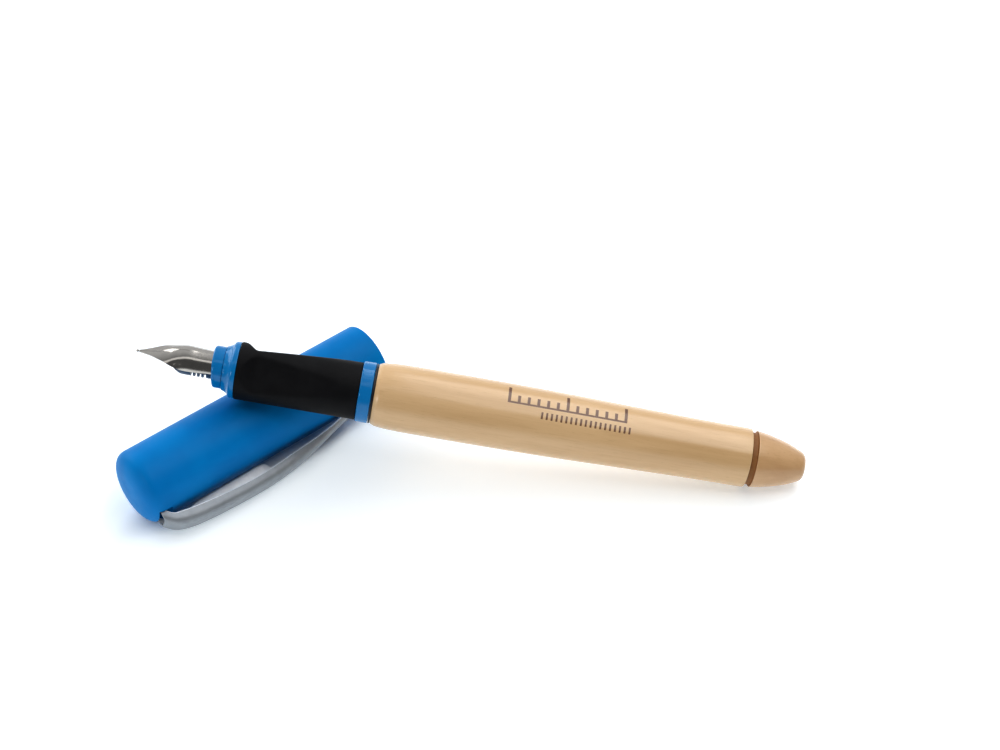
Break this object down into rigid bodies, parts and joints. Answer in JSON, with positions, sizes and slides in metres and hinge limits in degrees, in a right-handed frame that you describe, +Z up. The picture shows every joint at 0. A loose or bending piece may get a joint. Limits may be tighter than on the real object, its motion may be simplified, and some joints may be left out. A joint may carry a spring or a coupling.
{
  "type": "fountain pen with cap",
  "caption": "Wooden school fountain pen with a rubber grip, leaning across its own pulled-off blue cap; the section unscrews and the nib unit pulls out.",
  "frame": {"origin": "middle of the footprint, on the surface that the cap and the pen's tail lie on", "axes": "+Z up; +X along the length of the arrangement, from the nib towards the tail; the pen leans along -X, the cap lies at about 40 degrees to it"},
  "size_m": [0.1408, 0.05, 0.0285],
  "materials": {
    "maple": "clear lacquer, satin",
    "black_plastic": "moulded",
    "blue_plastic": "smooth moulded, satin gloss",
    "black_rubber": "soft, matt",
    "feed_plastic": "moulded, ink stained",
    "nib_steel": "polished stainless steel",
    "ink_plastic": "smooth, ink filled",
    "clip_steel": "satin"
  },
  "bodies": {
    "cap": {"cap_shell": "blue_plastic", "inner_cap": "black_plastic"},
    "clip": {"pocket_clip": "clip_steel"},
    "pen_barrel": {"barrel": "maple", "barrel_end_plug": "maple", "barrel_bush": "black_plastic"},
    "collar": {"trim_collar": "blue_plastic"},
    "section": {"section_core": "blue_plastic", "grip_sleeve": "black_rubber"},
    "nib_unit": {"nib_housing": "blue_plastic"},
    "nib_and_feed": {"nib": "nib_steel", "nib_tipping": "nib_steel", "feed": "feed_plastic"},
    "cartridge": {"ink_cartridge": "ink_plastic"},
    "ball": {"cartridge_ball": "nib_steel"}
  },
  "joints": [
    {"name": "clip_flex", "type": "hinge", "parent": "cap", "child": "clip", "pos_m": [-0.05947, -0.0227, 0.00448], "axis": [-0.2849, 0.3332, -0.8988], "range_deg": [0, 3], "stiffness_Nm_per_rad": 1},
    {"name": "pen_lift", "type": "slide", "parent": "cap", "child": "pen_barrel", "axis": [0, 0, 1], "range_m": [0, 0.03]},
    {"name": "section_screw_out", "type": "slide", "parent": "pen_barrel", "child": "collar", "axis": [-0.984, 0.0844, 0.1567], "range_m": [0, 0.0075]},
    {"name": "section_unscrew", "type": "hinge", "parent": "collar", "child": "section", "pos_m": [-0.02112, -0.00127, 0.01867], "axis": [-0.984, 0.0844, 0.1567], "range_deg": [0, 1800]},
    {"name": "nib_unit_pull", "type": "slide", "parent": "section", "child": "nib_unit", "axis": [-0.984, 0.0844, 0.1567], "range_m": [0, 0.016]},
    {"name": "feed_pull", "type": "slide", "parent": "nib_unit", "child": "nib_and_feed", "axis": [-0.984, 0.0844, 0.1567], "range_m": [0, 0.015]},
    {"name": "cartridge_pull", "type": "slide", "parent": "section", "child": "cartridge", "axis": [0.984, -0.0844, -0.1567], "range_m": [0, 0.006]},
    {"name": "ball_roll", "type": "slide", "parent": "cartridge", "child": "ball", "axis": [-0.984, 0.0844, 0.1567], "range_m": [0, 0.06]}
  ],
  "couplings": [
    {"joint": "section_screw_out", "follows": "section_unscrew", "m_per_rad": 0.00023873}
  ]
}
